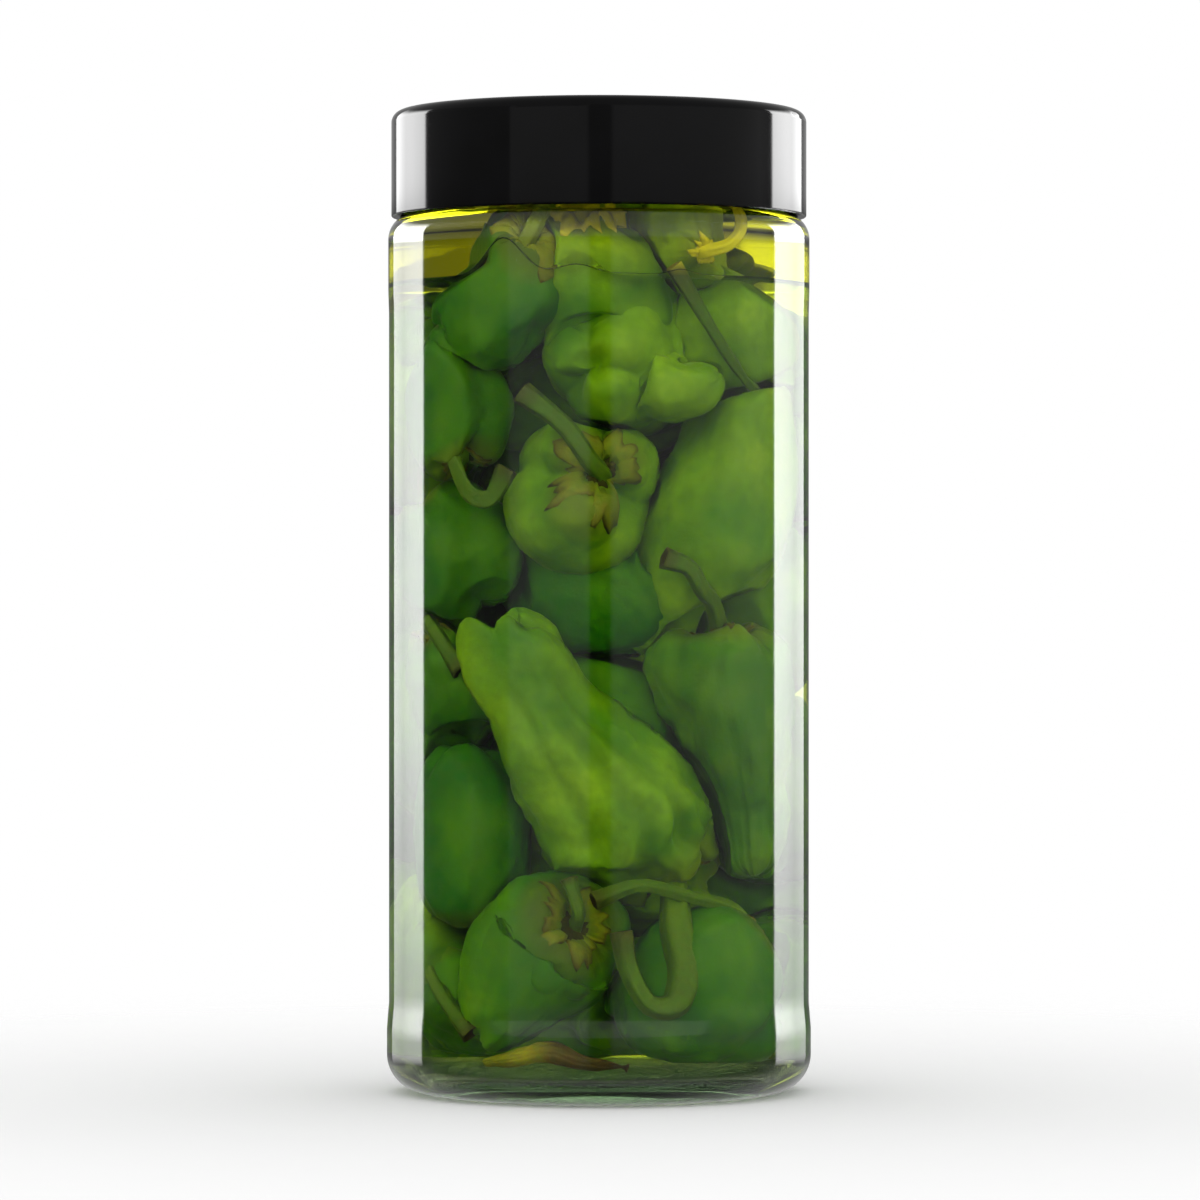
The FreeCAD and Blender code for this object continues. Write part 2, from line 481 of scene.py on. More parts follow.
class Pepper:
    """One pepper: where it lies, from stalk end to blossom end, and how its body is shaped.

    spine and girths are its middle line and half widths, and seed is what makes it differ. sizes,
    depth and spin shape its lobes, and tip and dimple its blossom end. slack, furrows, bumps and
    grooves shape its skin. tone runs from dark green, 0, to yellow-green, 1: partly the
    pepper's own colour, partly painted light, lighter for peppers high in the jar and darker for
    those low or deep in it. stalk holds points of the stalk's middle line, and calyx is the calyx's
    reach as a share of the girth.
    """

    def __init__(self, name, spine, girths, seed, lobes=3, depth=1.0, spin=0.0, slack=1.0,
                 furrows=1.0, tone=0.5, stalk=None, calyx=0.46, tip=1.0, sizes=None, dimple=1.0,
                 bumps=0.0, grooves=(), stalk_width=1.75, stalk_swell=0.0):
        self.name, self.seed, self.tone = name, seed, tone
        self.stalk, self.calyx = stalk, calyx
        self.stalk_width, self.stalk_swell = stalk_width, stalk_swell
        profile = through(body_profile, np.linspace(0, 1, RINGS))
        self.along_share = profile[:, 0]
        self.width_share = np.maximum(profile[:, 1], 0)
        tip_ring = int(np.argmax(self.along_share))
        farthest = self.along_share[tip_ring]
        self.along_share[tip_ring:] = farthest * (1 - dimple) + self.along_share[tip_ring:] * dimple
        evenly = np.linspace(0, 1, CORE_POINTS)
        half_widths = np.array(girths, float)[:, None]
        self.core = through(spine, evenly)
        self.core_girth = through(half_widths, evenly)[:, 0]
        directions, sides, ups = frames_along(self.core)
        self.out_of_stalk_end = -directions[0]
        self.angles = np.linspace(0, 2 * math.pi, SPOKES, endpoint=False)
        self.crest = np.zeros((RINGS, SPOKES))
        self.grid = np.zeros((RINGS, SPOKES, 3))
        line = through(spine, self.along_share)
        girth = through(half_widths, self.along_share)[:, 0]
        nearest = (self.along_share * (CORE_POINTS - 1)).round().astype(int)
        nearest = np.clip(nearest, 0, CORE_POINTS - 1)
        sizes = sizes or [1 + 0.10 * math.sin(seed * 1.3 + lobe * 1.9) for lobe in range(lobes)]
        lobe_drift = 0.45
        lobes_apart, ends_apart, most_apart = 0.16, 0.26, 0.5
        stalk_end_rise, tip_rise = -0.30, 0.42
        for ring, at in enumerate(nearest):
            share = self.along_share[ring]
            width = self.width_share[ring]
            drift = lobe_drift * noise.noise(Vector((seed * 3.1, share * 1.7, 0.0)))
            near_end = abs(2 * share - 1) ** 2
            apart = min(most_apart, depth * (lobes_apart + ends_apart * near_end))
            lobed = bundle(self.angles + spin + drift, sizes, seed, apart)
            crown = (lobed - lobed.min()) / max(lobed.max() - lobed.min(), 1e-6)
            # crown is 1 on a lobe's top and 0 in a crease; kept as crest, from which the skin's material
            # paints shade into the creases
            self.crest[ring] = crown
            # at both ends the lobes swell out past the creases between them
            ridge = width * max(0.0, 1.12 - width) * 3.6 * near_end * girth[ring] * depth
            if share < 0.5:
                swell = stalk_end_rise * ridge * crown
            else:
                swell = tip_rise * tip * ridge * (crown - 0.25)
            radial = width * girth[ring] * lobed
            outward = (np.cos(self.angles)[:, None] * sides[at]
                       + np.sin(self.angles)[:, None] * ups[at])
            self.grid[ring] = line[ring] + radial[:, None] * outward + swell[:, None] * directions[at]
        self.soften(slack, furrows, bumps)
        self.cut_grooves(grooves)

    def soften(self, slack, furrows, bumps):
        """Gives the body the dents and lengthwise furrows of soft skin."""
        broad, narrow, fine = 16, 7, 3            # how wide the dents are
        normals = shell_normals(self.grid)
        shift = Vector((self.seed * 7.3, self.seed * 1.9, self.seed * 4.7))
        amounts = np.zeros((RINGS, SPOKES))
        for ring in range(RINGS):
            share = self.along_share[ring]
            fade = min(1.0, self.width_share[ring] * 2.2)
            for j, angle in enumerate(self.angles):
                spot = Vector(self.grid[ring, j])
                dents = noise.noise(spot / broad + shift) * 2.0 + noise.noise(spot / narrow + shift) * 1.1
                wrinkles = noise.noise(spot / fine + shift)
                # furrows lie where this noise crosses zero, which is long the way the body is long
                round_body = Vector((math.cos(angle) * 2.4, math.sin(angle) * 2.4, share * 1.5))
                fold = 1 - abs(noise.noise(round_body + shift)) * 3.2
                furrow = -max(0.0, fold) ** 3
                stalk_half = max(0.0, 1 - 1.6 * share)
                lump = bumps * (0.3 - abs(noise.noise(spot / narrow - shift))) * stalk_half
                soft = slack * (dents + 0.35 * wrinkles)
                amounts[ring, j] = (soft + 1.1 * furrows * furrow + lump) * fade
        self.grid = self.grid + normals * amounts[..., None]

    def cut_grooves(self, grooves):
        """Draws the skin in along lengthwise grooves, each with a bearing and a depth, and lowers crest
        along them for painted shade.
        """
        groove_width, wander, shaded = 0.17, 0.10, 0.7
        normals = shell_normals(self.grid)
        for ring, share in enumerate(self.along_share):
            # a groove fades out before the tip and where the body narrows
            body = math.sin(math.pi * min(1.0, max(0.0, 1.15 * share)))
            fade = min(1.0, self.width_share[ring] * 1.5) * math.sqrt(max(0.0, body))
            for bearing, depth in grooves:
                middle = bearing + wander * math.sin(7 * share + bearing)
                pull = np.exp(-((self.angles - middle) / groove_width) ** 2) * fade
                self.grid[ring] -= normals[ring] * (depth * pull)[:, None]
                # painted shade: the groove's crest is lowered, so the skin's material paints it darker
                self.crest[ring] *= 1 - shaded * pull

    def pressed_by(self, other):
        """Gives way, by about half of any overlap, to another pepper."""
        beyond_girths = 6
        every = 3                                 # points of the other's middle line that are used
        girth_kept, own_half, most_moved, ease = 0.95, 0.52, 6.0, 3.0
        gap = np.linalg.norm(self.core[:, None] - other.core[None], axis=2).min()
        if gap > self.core_girth.max() + other.core_girth.max() + beyond_girths:
            return
        points = self.grid.reshape(-1, 3)
        offsets = points[:, None] - other.core[None, ::every]
        distance = np.linalg.norm(offsets, axis=2)
        inside = other.core_girth[None, ::every] * girth_kept - distance
        deepest = inside.argmax(axis=1)
        rows = np.arange(len(points))
        push = soft_limit(np.maximum(inside[rows, deepest], 0) * own_half, most_moved, ease)
        away = offsets[rows, deepest] / np.maximum(distance[rows, deepest], 1e-6)[:, None]
        self.grid = (points + away * push[:, None]).reshape(self.grid.shape)


# painted light in part: the tone given to each pepper is lighter high in the jar and darker low and deep
# in it, for the light that falls more on the upper peppers, besides their own differing colour
peppers = [
    Pepper("pepper_long_diagonal",
           [(12, -21, 51), (6, -23, 61), (-4, -26, 74), (-11.5, -29, 86), (-18.5, -30, 99.5)],
           [14.0, 17.0, 14.0, 10.5, 14.0], seed=3, depth=1.15, spin=-3.05, tone=0.68, furrows=0.35,
           slack=1.1, tip=0.9, sizes=[1.14, 0.98, 0.92], bumps=5.0,
           grooves=[(4.15, 1.6), (4.75, 1.1), (5.25, 1.3)],
           stalk=[(14, -25, 46), (15, -31, 38), (17, -33, 28), (15, -35, 21), (10, -36.5, 21),
                  (6, -37, 28), (4.5, -37, 36)], stalk_swell=2.0),
    Pepper("pepper_heart", [(0, -32.5, 131), (-1, -27, 130), (-2, -19, 129), (-2, -10, 128)],
           [11.5, 13.5, 13.0, 10.0], seed=5, depth=1.9, spin=-1.57, tone=0.74, furrows=0.2, slack=0.7,
           sizes=[1.45, 1.08, 1.02], stalk_width=1.9,
           stalk=[(-2, -38.2, 134), (-7, -38.6, 141), (-15.5, -36.4, 148)], calyx=0.7),
    Pepper("pepper_three_lobes", [(7, -10, 151), (4, -19, 152), (1, -28, 153), (-1, -36, 153.5)],
           [12, 13.5, 13.5, 12.5], seed=8, depth=1.5, tone=0.7, spin=0.61, tip=0.4, furrows=0.1,
           slack=0.6, sizes=[1.15, 0.95, 0.95], dimple=1.8),
    Pepper("pepper_bent_tail", [(6, -24, 151), (12, -30, 149), (17, -32, 148.5), (22, -28, 152)],
           [8, 7.5, 6.0, 3.5], seed=9, tone=0.85, depth=0.7, furrows=0.3),
    Pepper("pepper_top_middle", [(-2.5, -29, 182), (-1, -28, 175), (3, -24, 166), (6, -18, 157)],
           [9.5, 12.5, 13.5, 11.5], seed=11, tone=0.65, depth=0.8, furrows=0.2, slack=0.8,
           stalk=[(-1, -29, 187), (2, -28, 191), (6, -27, 195)], calyx=0.75),
    Pepper("pepper_top_left", [(-15, -35.5, 178), (-17, -30, 173.5), (-21, -23, 167), (-26, -17, 161)],
           [8.5, 13.0, 14.0, 10.0], seed=13, tone=0.18, furrows=0.6, slack=1.3, depth=0.8,
           stalk=[(-13, -37.5, 182), (-10, -35, 187), (-7, -28, 191)], calyx=0.95),
    Pepper("pepper_top_right", [(20, -29, 177.5), (16, -23, 178), (10, -16, 177), (2, -10, 178)],
           [5.5, 9.5, 11.0, 10.0], seed=15, tone=1.0, furrows=0.3, depth=0.7,
           stalk=[(25.5, -28.5, 179), (27.5, -25, 183), (27, -22, 190)], calyx=0.55, stalk_width=1.3),
    Pepper("pepper_top_behind", [(33, -8, 161), (28, -14, 159), (21, -18, 158), (12, -20, 156)],
           [12, 14.0, 14.0, 11.0], seed=16, tone=0.85, furrows=0.3, depth=0.7),
    Pepper("pepper_right_upper",
           [(31, -13, 147), (28, -16, 138), (24, -17, 125), (17, -16, 113), (8, -12, 104)],
           [10, 14.0, 15.5, 14.0, 10], seed=17, tone=0.75, furrows=0.2, depth=0.7,
           stalk=[(30, -22, 149), (25, -31, 157), (15, -37.5, 174)], stalk_width=1.2),
    Pepper("pepper_middle_deep", [(-12, -4, 112), (-5, -9, 108), (3, -12, 104), (11, -12, 98)],
           [11, 14.0, 14.0, 10], seed=18, tone=0.0, furrows=0.3, depth=0.7),
    Pepper("pepper_left_upper", [(-27, -24, 136), (-28, -22, 142), (-28, -20, 149), (-27, -18, 156)],
           [10.5, 12, 11.5, 9.5], seed=19, depth=1.1, tone=0.2, slack=0.8, furrows=0.3,
           stalk=[(-29, -29, 133), (-27, -33, 127), (-22, -35, 126), (-18.5, -36, 132)]),
    Pepper("pepper_left_middle", [(-31, -10, 124), (-28, -14, 118), (-25, -17, 111), (-21, -19, 104)],
           [11, 13.0, 13.0, 10.0], seed=21, tone=0.2, furrows=0.25, depth=0.6),
    Pepper("pepper_left_hidden", [(-31, -15, 98), (-28, -14, 91), (-24, -12, 84), (-18, -10, 78)],
           [9, 11.5, 12.0, 10.0], seed=22, tone=0.25, furrows=0.5,
           stalk=[(-33, -19, 100), (-31, -24, 96), (-27, -27, 90)], calyx=0.6),
    Pepper("pepper_left_low", [(-23, -19, 41), (-24, -20, 50), (-24, -20, 60), (-24, -19, 71)],
           [11, 12.5, 12.5, 11.5], seed=23, depth=0.9, tone=0.05, slack=0.6, furrows=0.2),
    Pepper("pepper_bottom_left", [(-5, -33, 37), (-8, -28, 34), (-14, -26, 25), (-21.5, -24, 13.5)],
           [13, 14.5, 13.0, 8.5], seed=25, lobes=4, tone=0.25, depth=0.7, furrows=0.5,
           grooves=[(4.4, 1.3), (5.3, 1.0)],
           stalk=[(-4, -37.5, 40), (-5, -37.5, 44), (-6, -37, 47)], calyx=0.6, stalk_width=1.3),
    Pepper("pepper_bottom_right", [(27, -14, 34), (22, -17, 28), (15, -18, 21), (5, -17, 15)],
           [13, 16.0, 15.5, 11.0], seed=27, tone=0.15, furrows=0.2, depth=0.6,
           stalk=[(25, -21, 40), (17, -30, 43), (8, -35, 45.5), (-1, -37.5, 42.5)], stalk_width=1.4),
    Pepper("pepper_right_wrinkled",
           [(22, -17, 98), (23, -18, 88), (26, -17, 74), (28, -16, 60), (29, -16, 47)],
           [13, 14.5, 12.0, 9.0, 6], seed=29, slack=1.5, furrows=0.7, tone=0.5, depth=0.6,
           stalk=[(22, -27, 104), (20.5, -32.5, 107), (18, -35, 111.5), (13, -37, 113.5)]),
    Pepper("pepper_left_bottom", [(-29, -12, 30), (-26, -12, 23), (-20, -10, 18), (-12, -8, 15)],
           [9, 11.5, 12.0, 10.0], seed=33, tone=0.3, furrows=0.4,
           stalk=[(-32, -17, 27), (-30, -23, 21), (-25, -28, 14)]),
]

filler_rows = [                   # bearing from the front, distance from the axis, height, tilt
    (92, 26, 22, 60), (128, 26, 18, -75), (180, 24, 19, 80), (232, 26, 18, -75), (272, 27, 24, 20),
    (150, 26, 42, 40), (205, 26, 44, -35),
    (95, 26, 64, -20), (140, 26, 68, 35), (185, 26, 70, -15), (232, 26, 64, 25), (272, 26, 78, -10),
    (105, 26, 104, 25), (155, 26, 104, -30), (203, 26, 104, 15), (250, 26, 106, -25),
    (105, 26, 140, -15), (155, 27, 140, 30), (207, 27, 138, -20), (258, 26, 142, 20),
    (120, 20, 155, 75), (180, 16, 168, -75), (240, 20, 158, 70),
    (0, 2, 20, 80), (0, 2, 46, -80), (0, 2, 80, -75), (0, -6, 118, 75), (0, -2, 146, 70),
]
for number, (bearing, reach, height, tilt) in enumerate(filler_rows):
    turn = math.radians(bearing)
    lean = math.radians(tilt)
    outward = np.array([math.sin(turn), -math.cos(turn), 0.0])
    middle = outward * reach + (0, 0, height)
    direction = np.array([math.cos(turn) * math.sin(lean), math.sin(turn) * math.sin(lean),
                          math.cos(lean)])
    if number % 2:
        direction = -direction
    half_length = 17.0 + 3.0 * noise.noise(Vector((number * 1.7, 0.3, 0.0)))
    bow = 2.5
    spine = [middle + direction * half_length * share + outward * bow * bent
             for share, bent in ((-1, 0), (-0.35, 1), (0.35, 1), (1, 0))]
    peppers.append(Pepper("pepper_back_%02d" % (number + 1), spine, [11.0, 14.0, 13.5, 10.0],
                          seed=40 + number, lobes=3 + number % 2, tone=0.3 + 0.1 * (number % 5)))

for _ in range(2):
    for pepper in peppers:
        for other in peppers:
            if other is not pepper:
                pepper.pressed_by(other)
for pepper in peppers:
    pepper.grid = press_in_jar(pepper.grid)


def bleached_in_oil(tree, colour, heights, most, pale):
    """A colour made paler and yellower in the oil, between two heights over the brine, most where tone is
    high: partly the yellow of skin and calyx in the oil, partly painted light for the glow and glints of
    the lit oil.
    """
    place = add_node(tree, "TexCoord").outputs["Object"]
    parts = add_node(tree, "SeparateXYZ", {0: place})
    in_oil = add_node(tree, "MapRange",
                      {"Value": parts.outputs["Z"], "From Min": (brine_level + heights[0]) * MM,
                       "From Max": (brine_level + heights[1]) * MM,
                       "To Max": most})
    tone = add_node(tree, "Attribute", attribute_name="tone")
    bleaching = add_node(tree, "Math", {0: in_oil, 1: tone.outputs["Fac"]}, operation="MULTIPLY")
    return add_node(tree, "Mix",
                    {"Factor": bleaching, "A": colour, "B": linear(pale)}, data_type="RGBA")


def pickled_skin():
    """Pickled pepper skin, waxy and cooked by the vinegar: soft sheen, mottled green to yellow."""
    material, tree = new_material("pepper_skin_pickled")
    place = add_node(tree, "TexCoord").outputs["Object"]
    tone = add_node(tree, "Attribute", attribute_name="tone")
    blotch_size = 16 * MM
    blotches = add_node(tree, "TexNoise", {"Vector": place, "Scale": 1 / blotch_size, "Detail": 3.0})
    spread = add_node(tree, "MapRange",
                      {"Value": blotches, "From Min": 0.3, "From Max": 0.7,
                       "To Min": -0.3, "To Max": 0.3})
    mixed = add_node(tree, "Math", {0: tone.outputs["Fac"], 1: spread}, operation="ADD", use_clamp=True)
    green = add_node(tree, "ValToRGB", {"Fac": mixed},
                     stops=[(0.0, linear("#266A06")), (0.45, linear("#548C08")),
                            (1.0, linear("#8EB612"))])
    # partly painted light: the skin is made paler and yellower in the oil, for the glow of the lit oil as
    # well as its yellow there
    bleached = bleached_in_oil(tree, green, (-1, 6), 0.6, "#BCD414")
    # painted shade: the skin is painted a deeper green in the creases between the lobes and along the
    # grooves, where shade falls
    crest = add_node(tree, "Attribute", attribute_name="crest")
    creased = add_node(tree, "MapRange",
                       {"Value": crest.outputs["Fac"], "From Max": 0.5, "To Min": 0.55, "To Max": 0.0})
    deepened = add_node(tree, "Mix",
                        {"Factor": creased, "A": bleached, "B": linear("#2C6208")}, data_type="RGBA")
    speck_size = 2.2 * MM
    specks = add_node(tree, "TexNoise", {"Vector": place, "Scale": 1 / speck_size, "Detail": 4.0})
    speckled = add_node(tree, "MapRange",
                        {"Value": specks, "From Min": 0.35, "From Max": 0.8,
                         "To Min": 0.0, "To Max": 0.35})
    skin = add_node(tree, "Mix",
                    {"Factor": speckled, "A": deepened, "B": linear("#4C700A")}, data_type="RGBA")
    # and brown round the stalk end
    along = add_node(tree, "Attribute", attribute_name="along")
    brown = add_node(tree, "MapRange",
                     {"Value": along.outputs["Fac"], "From Min": 0.0, "From Max": 0.1,
                      "To Min": 0.5, "To Max": 0.0})
    stained = add_node(tree, "Mix",
                       {"Factor": brown, "A": skin, "B": linear("#6B6418")}, data_type="RGBA")
    crinkle_size = 1.6 * MM
    crinkles = add_node(tree, "TexNoise", {"Vector": place, "Scale": 1 / crinkle_size, "Detail": 5.0})
    relief = add_node(tree, "Bump", {"Strength": 0.5, "Distance": 0.25 * MM, "Height": crinkles})
    surface = add_node(tree, "BsdfPrincipled",
                       {"Base Color": stained, "Roughness": 0.45, "Subsurface Weight": 0.3,
                        "Subsurface Radius": (1.0, 1.0, 0.2), "Subsurface Scale": 2.5 * MM,
                        "Specular IOR Level": 0.15, "Normal": relief})
    add_node(tree, "OutputMaterial", {"Surface": surface})
    return material


def body_piece(pepper, stalk_end):
    """The closed skin of a pressed body, whose points are marked with their share of its length."""
    piece = closed_mesh(pepper.name, pepper.grid[1:-1],
                        pepper.grid[1].mean(axis=0), pepper.grid[-2].mean(axis=0))
    along = np.repeat(pepper.along_share[1:-1], SPOKES).tolist()
    mark(piece, "along", along + [stalk_end, 1.0])
    return piece


skin_material = pickled_skin()
for pepper in peppers:
    piece = body_piece(pepper, 0.05)
    mark(piece, "tone", np.full(len(piece.data.vertices), pepper.tone))
    # crest drives the painted crease shade in the skin's material
    mark(piece, "crest", pepper.crest[1:-1].reshape(-1).tolist() + [0.5, 0.5])
    piece.data.materials.append(skin_material)
    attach(piece, "root")

# ------------------------------------------------
# Sunk scrap. A torn strip of calyx and skin that has come off a pepper. It has sunk to the jar's
# floor, in front, and lies there along the curve of the glass.


def plant_fibre(name, fibre_size, stops, mottling, roughness, oil_bleach=None):
    """Fibrous plant stuff, cured in vinegar: a colour that runs along it, mottled and rough."""
    material, tree = new_material(name)
    place = add_node(tree, "TexCoord").outputs["Object"]
    along = add_node(tree, "Attribute", attribute_name="along")
    fibres = add_node(tree, "TexNoise", {"Vector": place, "Scale": 1 / fibre_size, "Detail": 4.0})
    shade = add_node(tree, "ValToRGB", {"Fac": along.outputs["Fac"]},
                     stops=[(share, linear(colour)) for share, colour in stops])
    mottled = add_node(tree, "Mix",
                       {"Factor": mottling, "A": shade, "B": fibres.outputs["Color"]},
                       data_type="RGBA", blend_type="MULTIPLY")
    # in the oil the colour is made paler and yellower: partly its own yellow there, partly painted light
    # for the glow and glints of the lit oil
    colour = bleached_in_oil(tree, mottled, *oil_bleach) if oil_bleach else mottled
    relief = add_node(tree, "Bump", {"Strength": 0.7, "Distance": 0.3 * MM, "Height": fibres})
    surface = add_node(tree, "BsdfPrincipled",
                       {"Base Color": colour, "Roughness": roughness, "Specular IOR Level": 0.15,
                        "Normal": relief})
    add_node(tree, "OutputMaterial", {"Surface": surface})
    return material


scrap = Pepper("sunk_scrap",
               [(-22, -30, 8), (-16, -34, 9.5), (-10, -36.5, 11), (-3, -37.5, 9), (6, -37, 7.5)],
               [1.2, 1.9, 2.0, 1.7, 1.0], seed=61, slack=0.7, furrows=0.3, depth=0.6)
scrap.grid = press_in_jar(scrap.grid)
scrap_piece = body_piece(scrap, 0.0)
# torn calyx, long in the vinegar: yellow and waxy at one end, brown and frayed at the other
scrap_piece.data.materials.append(plant_fibre(
    "calyx_scrap_sodden", 1.5 * MM,
    [(0.0, "#8E8C12"), (0.35, "#A8A214"), (0.55, "#64520E"), (1.0, "#3E300C")],
    mottling=0.5, roughness=0.5))
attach(scrap_piece, "root")

# ------------------------------------------------
# Stalks. Each pepper given a stalk line keeps its green stalk and the calyx it grew from: a thin cap
# with a ragged five-toothed edge laid over the stalk end, running up into a ribbed stalk cut off square.

calyx_steps = [                   # share of the calyx's reach, height over the pepper's skin
    (1.02, -0.5), (1.03, 0.05), (1.0, 0.45), (0.9, 0.62), (0.75, 0.7), (0.6, 0.8), (0.45, 0.9)]


def calyx_rings(pepper):
    """Rings of the calyx, from its ragged edge, tucked into the body, in towards the stalk."""
    normals = shell_normals(pepper.grid)
    widths = pepper.width_share
    widest = int(np.argmax(widths > 0.9))         # the ring of the body that the calyx keeps within
    teeth, tearing, fraying = 0.12, 0.45, 0.30
    reach = []
    for a in pepper.angles:
        torn = noise.noise(Vector((math.cos(a) * 3, math.sin(a) * 3, pepper.seed)))
        frayed = noise.noise(Vector((math.cos(a) * 8, math.sin(a) * 8, pepper.seed)))
        edge = 1 + teeth * math.cos(5 * a + pepper.seed) + tearing * torn + fraying * frayed
        reach.append(pepper.calyx * edge)
    rings = []
    for share, lift in calyx_steps:
        ring = np.zeros((SPOKES, 3))
        for j in range(SPOKES):
            place = np.interp(reach[j] * share, widths[:widest + 1], np.arange(widest + 1))
            low = int(place)
            t = place - low
            spot = pepper.grid[low, j] * (1 - t) + pepper.grid[low + 1, j] * t
            ring[j] = spot + normals[min(low + 1, widest), j] * lift
        rings.append(ring)
    return rings


def stalk_rings(pepper):
    """Rings up the ribbed stalk, from inside the calyx to the square cut with its rounded edge."""
    base = pepper.grid[1].mean(axis=0)
    first = pepper.grid[1, 0] - base
    quarter = pepper.grid[1, SPOKES // 4] - base
    root_length, steps, sunk_steps = 3.0, 40, 3   # the sunk steps lie inside the body
    straight_out = base + pepper.out_of_stalk_end * root_length
    line = through(np.vstack([base, straight_out] + pepper.stalk), np.linspace(0, 1, steps))
    line = line[sunk_steps:]
    directions, sides, ups = frames_along(line)
    # the stalk's section is turned to line up with the calyx's first spoke
    spin = math.atan2(np.dot(first, ups[0]), np.dot(first, sides[0]))
    sense = 1 if np.dot(np.cross(first, quarter), directions[0]) > 0 else -1
    turned = spin + sense * pepper.angles
    root_flare, end_flare, rib_height = 1.3, 0.55, 0.07
    swell_middle, swell_spread = 0.45, 0.22
    rings = []
    for step in range(len(line)):
        share = step / (len(line) - 1)
        thick = pepper.stalk_width + root_flare * math.exp(-share * 9)
        thick += end_flare * max(0, share - 0.8) / 0.2
        thick += pepper.stalk_swell * math.exp(-((share - swell_middle) / swell_spread) ** 2)
        ribs = 1 + rib_height * np.cos(5 * turned + 1.5 * share)
        outward = np.cos(turned)[:, None] * sides[step] + np.sin(turned)[:, None] * ups[step]
        rings.append(line[step] + (thick * ribs)[:, None] * outward)
    end = rings[-1]
    centre = end.mean(axis=0)
    for share, out in ((0.86, 0.15), (0.5, -0.35)):
        rings.append(centre + (end - centre) * share + directions[-1] * out)
    return rings


def make_stalk(pepper):
    """The calyx and stalk of one pepper as one closed skin."""
    skin = press_in_jar(np.array(calyx_rings(pepper) + stalk_rings(pepper)), clear_shoulder=False)
    piece = closed_mesh(pepper.name + "_stalk", skin, skin[0].mean(axis=0), skin[-1].mean(axis=0))
    along = np.repeat(np.linspace(0, 1, len(skin)), SPOKES).tolist()
    mark(piece, "along", along + [0.0, 1.0])
    mark(piece, "tone", np.full(len(along) + 2, pepper.tone))
    return piece


# pepper stalk and calyx, cured in vinegar: drab olive, brown at the ragged rim and at the cut, and pale
# yellow in the oil, partly their colour there and partly painted light for the glow and glints of the lit
# oil
stalk_material = plant_fibre(
    "pepper_stalk_cured", 1.2 * MM,
    [(0.0, "#4A4610"), (0.045, "#686418"), (0.085, "#868C1C"), (0.16, "#648416"),
     (0.85, "#567818"), (1.0, "#4A3A14")],
    mottling=0.35, roughness=0.55, oil_bleach=((0, 5), 0.95, "#F0E020"))
for pepper in peppers:
    if pepper.stalk:
        piece = make_stalk(pepper)
        piece.data.materials.append(stalk_material)
        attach(piece, "root")

# ------------------------------------------------
# Lid. A smooth one-piece screw lid, moulded in black phenolic plastic with a small round along
# its top edge. The CAD lid is shown as it is, with this finish.


def black_phenolic():
    """Phenolic plastic, compression moulded and polished: deep black with mirror-clear gloss."""
    material, tree = new_material("black_phenolic_polished")
    place = add_node(tree, "TexCoord").outputs["Object"]
    flow_size = 12 * MM
    flow = add_node(tree, "TexNoise", {"Vector": place, "Scale": 1 / flow_size, "Detail": 2.0})
    sheen = add_node(tree, "MapRange", {"Value": flow, "To Min": 0.05, "To Max": 0.09})
    colour = add_node(tree, "ValToRGB", {"Fac": flow},
                      stops=[(0.3, linear("#030303")), (0.7, linear("#070708"))])
    relief = add_node(tree, "Bump", {"Strength": 0.05, "Distance": 0.02 * MM, "Height": flow})
    surface = add_node(tree, "BsdfPrincipled",
                       {"Base Color": colour, "Roughness": sheen, "IOR": 1.5,
                        "Specular IOR Level": 0.12, "Normal": relief})
    add_node(tree, "OutputMaterial", {"Surface": surface})
    return material


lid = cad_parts["lid"]
lid.data.materials[0] = black_phenolic()

# ------------------------------------------------
# Studio. A pale floor, a plain white surround, and two tall soft lights behind the jar, one on
# each side, which draw the long highlights down the glass. The camera stands level with the
# middle of the jar.

floor_radius = 0.9
floor_drop = 0.0002               # the floor lies this far under the jar, so that the two don't fight
fade_start, fade_end = 0.10, 0.34


def make_floor():
    """A matt white floor that fades out into the white surround, and isn't seen in the glass."""
    bpy.ops.mesh.primitive_circle_add(vertices=128, radius=floor_radius, fill_type="NGON",
                                      location=(0, 0, -floor_drop))
    piece = bpy.context.active_object
    piece.name = "studio_floor"
    material, tree = new_material("studio_floor_matt_white")
    place = add_node(tree, "TexCoord").outputs["Object"]
    reach = add_node(tree, "VectorMath", {0: place}, operation="LENGTH")
    fade = add_node(tree, "MapRange",
                    {"Value": reach, "From Min": fade_start, "From Max": fade_end},
                    interpolation_type="SMOOTHSTEP")
    rays = add_node(tree, "LightPath")
    seen_in_glass = add_node(tree, "Math",
                             {0: rays.outputs["Is Glossy Ray"], 1: rays.outputs["Is Transmission Ray"]},
                             operation="MAXIMUM")
    clear = add_node(tree, "Math", {0: fade, 1: seen_in_glass}, operation="MAXIMUM")
    surface = add_node(tree, "BsdfPrincipled",
                       {"Base Color": linear("#FAFAFA"), "Roughness": 0.9, "Specular IOR Level": 0.0})
    nothing = add_node(tree, "BsdfTransparent")
    mixed = add_node(tree, "MixShader", {0: clear, 1: surface, 2: nothing})
    add_node(tree, "OutputMaterial", {"Surface": mixed})
    piece.data.materials.append(material)
    return piece


make_floor()

strongest = 12.0                  # the light that a ring's ramp shows as 1


def grey(level):
    return (level, level, level, 1.0)


